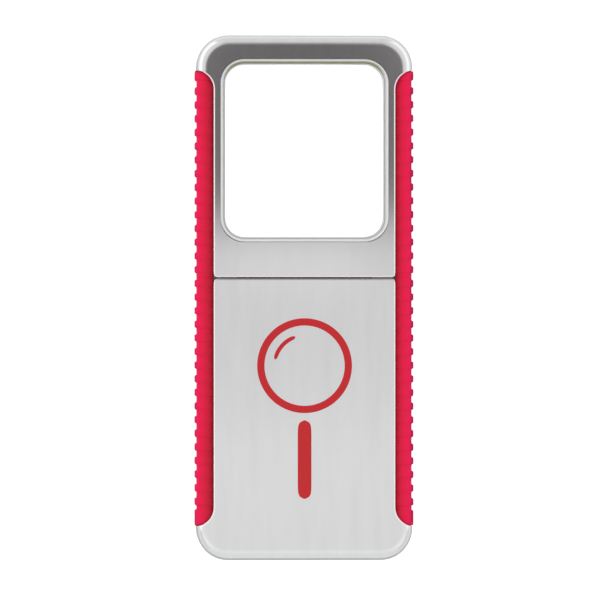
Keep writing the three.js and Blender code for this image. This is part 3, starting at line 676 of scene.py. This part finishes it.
# painted shade: a dark band along the silver, its edge wobbled by noise, reaching 0.3 mm further out on the left
# grip
shade_wobble = add_node(red, "ShaderNodeTexNoise", Vector=place, Scale=140.0, Detail=3.0, Roughness=0.55)
across = add_node(red, "ShaderNodeAttribute", {"attribute_name": "from_middle"}).outputs["Fac"]
painted_shade_lean = add_node(red, "ShaderNodeMath", {"operation": "ADD"}, i0=across, i1=0.0003)
out = add_node(red, "ShaderNodeMath", {"operation": "ABSOLUTE"}, i0=painted_shade_lean.outputs[0])
painted_light = add_node(red, "ShaderNodeMath", {"operation": "MULTIPLY_ADD"}, i0=shade_wobble.outputs["Fac"], i1=0.0008,
                i2=out.outputs[0])
painted_shade_across = add_node(red, "ShaderNodeMapRange", Value=painted_light.outputs[0], From_Min=0.0201, From_Max=0.0243)
tone = add_node(red, "ShaderNodeValToRGB", i0=painted_shade_across.outputs[0])
TONES = (
    # from the painted shade along the silver outwards; the last stop is shade painted on the rib tops
    (0, "#a2182a"), (0.343, "#c01b36"), (0.55, "#d2193f"), (0.762, "#dc164b"), (0.9, "#dc164b"), (0.97, "#aa1440"),
)
for _ in TONES[2:]:
    tone.color_ramp.elements.new(0.5)
for stop, (at, colour) in zip(tone.color_ramp.elements, TONES):
    stop.position, stop.color = at, hex_colour(colour)
texture = add_node(red, "ShaderNodeBump", Height=erosion.outputs["Fac"], Strength=0.25, Distance=0.00003)
rubber = add_node(red, "ShaderNodeBsdfPrincipled", Base_Color=tone.outputs[0], Roughness=0.5,
                  Specular_IOR_Level=0.06, Normal=texture.outputs[0])
add_node(red, "ShaderNodeOutputMaterial", Surface=rubber.outputs[0])

# %% [markdown]
# The lens is polished acrylic (PMMA, index 1.49). Light that reaches the page through it would need caustics, so
# shadow and diffuse rays pass straight through instead.

# %% Clear acrylic
clear = new_material("polished_acrylic")
glass = add_node(clear, "ShaderNodeBsdfPrincipled", Base_Color=hex_colour("#fdfffd"), Roughness=0.02, IOR=1.49,
                 Transmission_Weight=1.0)
through = add_node(clear, "ShaderNodeBsdfTransparent")
ray = add_node(clear, "ShaderNodeLightPath")
either = add_node(clear, "ShaderNodeMath", {"operation": "MAXIMUM"}, i0=ray.outputs["Is Shadow Ray"],
                  i1=ray.outputs["Is Diffuse Ray"])
acrylic = add_node(clear, "ShaderNodeMixShader", i0=either.outputs[0], i1=glass.outputs[0], i2=through.outputs[0])
add_node(clear, "ShaderNodeOutputMaterial", Surface=acrylic.outputs[0])

# %% [markdown]
# The trim ring is a pale, slightly milky plastic, moulded smooth. At the far end its slope is painted a darker
# greenish grey as shade, while the raised lip keeps its pale tone. A thin gloss lies over a soft, even grey.

# %% Pale trim plastic
pale = new_material("milky_trim")
place = add_node(pale, "ShaderNodeTexCoord").outputs["Object"]
haze = add_node(pale, "ShaderNodeTexNoise", Vector=place, Scale=300.0, Detail=2.0)
tone = add_node(pale, "ShaderNodeMix", {"data_type": "RGBA"}, Factor=haze.outputs["Fac"],
                i6=hex_colour("#cccbca"), i7=hex_colour("#d6d5d4"))
length = add_node(pale, "ShaderNodeSeparateXYZ", Vector=place)
# painted shade: the slope at the far end, below the lip, turns a darker greenish grey
toward_far_end = add_node(pale, "ShaderNodeMapRange", Value=length.outputs["Y"], From_Min=0.0485, From_Max=0.0508)
below_lip = add_node(pale, "ShaderNodeMapRange", Value=length.outputs["Z"], From_Min=0.0118, From_Max=0.0116)
painted_shade_far_end = add_node(pale, "ShaderNodeMath", {"operation": "MULTIPLY"}, i0=toward_far_end.outputs[0], i1=below_lip.outputs[0])
tone = add_node(pale, "ShaderNodeMix", {"data_type": "RGBA"}, Factor=painted_shade_far_end.outputs[0], i6=tone.outputs[2],
                i7=hex_colour("#adac94"))
milky = add_node(pale, "ShaderNodeBsdfPrincipled", Base_Color=tone.outputs[2], Roughness=0.3,
                 Coat_Weight=0.2, Coat_Roughness=0.1)
add_node(pale, "ShaderNodeOutputMaterial", Surface=milky.outputs[0])

# %% [markdown]
# Inside: dark ABS with a spark-eroded texture, green solder mask, nickel, zinc-plated steel, bright brass and the
# LEDs' white case. Each is a principled shader whose tone varies a little with noise at the scale of its own
# surface, so one loop over a table of values makes them.

# %% Inner materials
INNER = {
    # name: (darker, lighter, grain in mm, roughness, metallic, specular level, bump in mm)
    "black_abs": ("#39393c", "#464649", 0.30, 0.55, 0.0, 0.5, 0.010),
    "solder_mask": ("#14502a", "#1d6436", 2.0, 0.35, 0.0, 0.5, 0.004),
    "nickel_can": ("#b4b4b2", "#c6c6c4", 0.8, 0.25, 1.0, 0.5, 0.002),
    "zinc_steel": ("#9a9ca0", "#b2b4b8", 0.5, 0.3, 1.0, 0.5, 0.002),
    "bright_brass": ("#b98f3e", "#cfa552", 0.6, 0.25, 1.0, 0.5, 0.002),
    "led_case": ("#efe3a0", "#f6efc8", 0.6, 0.4, 0.0, 0.5, 0.002),
    "pad_print_ink": ("#ae1c20", "#ba2226", 0.5, 0.45, 0.0, 0.15, 0.003),
}
inner = {}
for name, (dark, light, grain_mm, roughness, metallic, specular, bump_mm) in INNER.items():
    made = new_material(name)
    place = add_node(made, "ShaderNodeTexCoord").outputs["Object"]
    noise = add_node(made, "ShaderNodeTexNoise", Vector=place, Scale=1000 / grain_mm, Detail=3.0)
    tone = add_node(made, "ShaderNodeMix", {"data_type": "RGBA"}, Factor=noise.outputs["Fac"],
                    i6=hex_colour(dark), i7=hex_colour(light))
    bump = add_node(made, "ShaderNodeBump", Height=noise.outputs["Fac"], Strength=0.3, Distance=bump_mm / 1000)
    shader = add_node(made, "ShaderNodeBsdfPrincipled", Base_Color=tone.outputs[2], Roughness=roughness,
                      Metallic=metallic, Specular_IOR_Level=specular, Normal=bump.outputs[0])
    add_node(made, "ShaderNodeOutputMaterial", Surface=shader.outputs[0])
    inner[name] = made

# %% [markdown]
# ## Put the pieces on their bodies
#
# A new piece rides on the body that carries it and stands for the frame's plain node, which is hidden. The frame's
# remaining nodes keep their shape and take a finish.


# %% Ride, replace and paint
def fit(piece, body, slot, material, *replaced):
    """Paints a new piece, fastens it to its body, and hides the frame nodes that it stands for. slot is not used.
    """
    piece.data.materials.append(material)
    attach(piece, body)
    if replaced:
        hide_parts(*replaced)


fit(head_cover, "lens_head", "silver_shell", silver, "lens_front_bezel")
fit(handle_cover, "handle", "silver_shell", silver, "handle_front_cover")
fit(head_back, "lens_head", "silver_shell", silver, "lens_rear_bezel")
fit(handle_back, "handle", "silver_shell", silver, "handle_rear_cover")
fit(door, "battery_door", "silver_shell", silver, "battery_door")
for piece, body in cheeks:
    fit(piece, body, "black_plastic", inner["black_abs"])
for piece, body, name in grips:
    fit(piece, body, "red_rubber", red, name)
fit(lens, "lens_head", "clear_acrylic", clear, "lens")
fit(ring, "lens_head", "pale_trim", pale, "lens_trim_ring")
for piece in prints:
    fit(piece, "handle", "red_rubber", inner["pad_print_ink"])

FINISH = {
    "black_abs": ("slide_carriage", "carriage_lid", "battery_holder", "resistor"),
    "solder_mask": ("led_board", "contact_board"),
    "nickel_can": ("rear_coin_cell", "front_coin_cell"),
    "zinc_steel": ("screw", "detent_spring"),
    "bright_brass": ("negative_contact", "positive_contact", "contact_finger"),
    "led_case": ("led_left", "led_right"),
}  # the light window is the one node left, and it is clear
for node_name, node in nodes.items():
    if node.hide_render:
        continue
    found = [f for f, words in FINISH.items() if any(w in node_name for w in words)]
    finish = inner[found[0]] if found else clear
    for place_slot in node.material_slots:
        place_slot.material = finish
    if not node.material_slots:
        node.data.materials.append(finish)
    print(f"{node_name}: {finish.name}")

# %% [markdown]
# ## Floor, light and camera
#
# The magnifier lies on a plain white floor. Mirror-like silver is only as light as what it faces, so the light is
# arranged as for polished metal: a white tent all round, a softbox on each side, and a large card overhead. The
# floor is white to the eye. In reflections it is a greyer copy whose glow carries a shadow painted round the
# magnifier, so that the silver's lower edges stand out against it. From below it is open, so that the back can be
# looked at.

# %% Floor
FLOOR_Z, FLOOR_HALF = -0.0002, 3  # in metres, a hair below the back, so that the two never lie in one plane
# The shade is deepest in a box as big as the magnifier, a little nearer the handle's end, and ends 60 mm outside.
SHADE_SHIFT, SHADE_HALF, SHADE_REACH = (0, 0.02, 0), (0.024, 0.058, 0), 0.06
floor_corners = [(x * FLOOR_HALF, y * FLOOR_HALF, FLOOR_Z) for x, y in ((-1, -1), (1, -1), (1, 1), (-1, 1))]
floor_mesh = bpy.data.meshes.new("floor")
floor_mesh.from_pydata(floor_corners, [], [(0, 1, 2, 3)])
floor = bpy.data.objects.new("floor", floor_mesh)
bpy.context.scene.collection.objects.link(floor)
white = new_material("white_floor")
place = add_node(white, "ShaderNodeTexCoord").outputs["Object"]
centred = add_node(white, "ShaderNodeVectorMath", {"operation": "ADD"}, i0=place, i1=SHADE_SHIFT)
size = add_node(white, "ShaderNodeVectorMath", {"operation": "ABSOLUTE"}, i0=centred.outputs[0])
beyond = add_node(white, "ShaderNodeVectorMath", {"operation": "SUBTRACT"}, i0=size.outputs[0], i1=SHADE_HALF)
outside = add_node(white, "ShaderNodeVectorMath", {"operation": "MAXIMUM"}, i0=beyond.outputs[0], i1=(0, 0, 0))
apart = add_node(white, "ShaderNodeVectorMath", {"operation": "LENGTH"}, i0=outside.outputs[0]).outputs["Value"]
# a shadow painted into the glow that reflections see, darkest near the magnifier
painted_shadow_glow = add_node(white, "ShaderNodeMapRange", Value=apart, From_Max=SHADE_REACH, To_Min=0.3, To_Max=0.8)
sheets = []  # the floor in reflections, and the floor to the eye
for paint, shine in (("#8f8f8f", painted_shadow_glow.outputs[0]), ("#f6f6f6", 0.6)):
    matte = add_node(white, "ShaderNodeBsdfDiffuse", Color=hex_colour(paint))
    glow = add_node(white, "ShaderNodeEmission", Color=(1, 1, 1, 1), Strength=shine)
    sheets.append(add_node(white, "ShaderNodeAddShader", i0=matte.outputs[0], i1=glow.outputs[0]).outputs[0])
ray = add_node(white, "ShaderNodeLightPath")
seen = add_node(white, "ShaderNodeMath", {"operation": "MAXIMUM"}, i0=ray.outputs["Is Camera Ray"],
                i1=ray.outputs["Is Transmission Ray"])
both = add_node(white, "ShaderNodeMixShader", i0=seen.outputs[0], i1=sheets[0], i2=sheets[1])
below = add_node(white, "ShaderNodeNewGeometry").outputs["Backfacing"]
open_below = add_node(white, "ShaderNodeBsdfTransparent")
one_sided = add_node(white, "ShaderNodeMixShader", i0=below, i1=both.outputs[0], i2=open_below.outputs[0])
add_node(white, "ShaderNodeOutputMaterial", Surface=one_sided.outputs[0])
floor.data.materials.append(white)
print(f"floor: {2 * FLOOR_HALF} m square")

# %% [markdown]
# The card overhead is printed with soft tones for the silver to mirror: white over the handle, fading to a warm
# dark grey over the lens end, and white again towards its edges. They are one brightness for every point of a grid,
# worked out from products of smooth steps, and stored as a colour attribute. Only reflections see the card.

# %% Overhead card
CARD_Z = 0.072  # in metres
CARD_HALF, CARD_START, CARD_END, CARD_STEP = 110.0, -110.0, 150.0, 2.0  # in millimetres, as all that follows


def fade(value, start, end, low=0.0, high=1.0):
    """From low at start to high at end, along the smooth step 3t^2 - 2t^3."""
    t = np.clip((value - start) / (end - start), 0, 1)
    return low + (high - low) * t * t * (3 - 2 * t)


card_y = np.arange(CARD_START, CARD_END + 1, CARD_STEP)
card_x = np.arange(-CARD_HALF, CARD_HALF + 1, CARD_STEP)
y, x = np.meshgrid(card_y, card_x, indexing="ij")
wide = np.abs(x)
corner = np.maximum(wide - 18, 0) * np.maximum(y - 50, 0)
dark = fade(y, 11, 24) * fade(y, 122, 62) * fade(wide, 52, 25) * fade(corner, 330, 0)
glare = fade(wide, 22, 8, 0, 0.15) * fade(y, 19, 11) * fade(y, 1, 5)
light = fade(y, -8, -40, 0.87, 0.985) * fade(y, -46, -56, 1, 0.97) * fade(y, -60, -74, 1, 1.13)
light = light * fade(wide, 28, 60, 1, 1.1) + glare
dim = fade(y, 15, 60, 0.15, 0.105)
level = light + (dim - light) * dark
colour = level[..., None] * (1 + dark[..., None] * [0.07, -0.04, -0.03])
card_mesh = bpy.data.meshes.new("overhead_card")
card_points = np.stack([x / 1000, y / 1000, np.full(x.shape, CARD_Z)], -1).reshape(-1, 3)
card_mesh.from_pydata(card_points.tolist(), [], grid_faces(*x.shape, False, False).tolist())
tint = card_mesh.attributes.new("tones", "FLOAT_COLOR", "POINT")
tint.data.foreach_set("color", np.concatenate([colour, np.ones((*x.shape, 1))], -1).ravel())
card = bpy.data.objects.new("overhead_card", card_mesh)
bpy.context.scene.collection.objects.link(card)
printed = new_material("printed_card")
tones = add_node(printed, "ShaderNodeAttribute", {"attribute_name": "tones"})
shine = add_node(printed, "ShaderNodeEmission", Color=tones.outputs["Color"])
add_node(printed, "ShaderNodeOutputMaterial", Surface=shine.outputs[0])
card.data.materials.append(printed)
for kind in ("camera", "diffuse", "transmission", "shadow", "volume_scatter"):
    setattr(card, "visible_" + kind, False)
print(f"card: brightness {level.min():.2f} to {level.max():.2f}")

# %% The tent
world = bpy.data.worlds.new("white_tent")
world.use_nodes = True
sky = world.node_tree.nodes["Background"]
ray = add_node(world, "ShaderNodeLightPath")
strength = add_node(world, "ShaderNodeMapRange", Value=ray.outputs["Is Camera Ray"], To_Min=0.92, To_Max=1.0)
world.node_tree.links.new(strength.outputs[0], sky.inputs["Strength"])
sky.inputs["Color"].default_value = (0.97, 0.985, 1, 1)
bpy.context.scene.world = world
bpy.context.scene.view_settings.view_transform = "Standard"
bpy.context.scene.view_settings.look = "None"

# %% Three softboxes
BOX = 1.1  # metres along each side
SOFTBOXES = (
    # name, place in metres, watts
    ("left", (-0.6, 0.35, 0.4), 2.8),
    ("right", (0.6, 0.35, 0.4), 1.9),
    ("near", (0, -0.6, 0.4), 0.4),
)
for word, place, watts in SOFTBOXES:
    box = bpy.data.lights.new(f"{word}_softbox", "AREA")
    box.shape, box.size, box.energy = "SQUARE", BOX, watts
    lamp = bpy.data.objects.new(f"{word}_softbox", box)
    lamp.location = place
    lamp.rotation_euler = (-Vector(place)).to_track_quat("-Z", "Y").to_euler()
    lamp.visible_camera = False
    bpy.context.scene.collection.objects.link(lamp)
    print(f"{word} softbox: {watts} W")

# %% [markdown]
# The camera looks straight down from far away with a long lens, two degrees to the left of upright, so outlines
# stay parallel.

# %% Camera
TILT, FAR = math.radians(1.8), 1.4
SEEN, SENSOR = 0.13213, 36  # metres across the view at the object, and the sensor's width in millimetres
aim = np.array([-0.00082, -0.0005, 0.006])
camera_data = bpy.data.cameras.new("camera")
camera_data.sensor_width = SENSOR
camera_data.lens = SENSOR * FAR / SEEN
camera_data.clip_end = 10
camera = bpy.data.objects.new("camera", camera_data)
camera.location = aim + FAR * np.array([-math.sin(TILT), 0, math.cos(TILT)])
camera.rotation_euler = (0, -TILT, 0)
bpy.context.scene.collection.objects.link(camera)
bpy.context.scene.camera = camera
print(f"camera: {FAR} m away, lens {camera_data.lens:.0f} mm")
